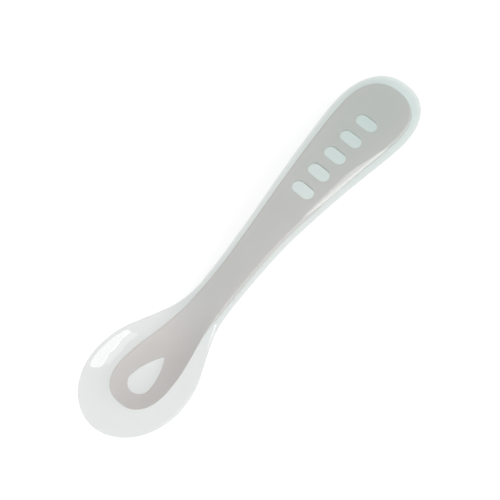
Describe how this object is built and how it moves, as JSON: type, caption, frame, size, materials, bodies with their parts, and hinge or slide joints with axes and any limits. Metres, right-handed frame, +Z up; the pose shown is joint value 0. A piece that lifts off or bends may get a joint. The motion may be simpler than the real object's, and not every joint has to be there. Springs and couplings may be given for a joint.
{
  "type": "baby spoon",
  "caption": "Training spoon for a small child, with a shallow bowl, an arched wide handle and a stiff core inside clear soft silicone.",
  "frame": {"origin": "centre of the spoon's outline seen from above, on the surface that the spoon lies on", "axes": "+Z up, +X along the spoon from the bowl towards the end of the handle, +Y to the spoon's left seen from the bowl"},
  "size_m": [0.145, 0.032, 0.0143],
  "materials": {
    "clear_silicone": "clear gloss",
    "grey_core": "smooth satin"
  },
  "bodies": {
    "root": {"jacket": "clear_silicone", "core": "grey_core"}
  },
  "joints": []
}
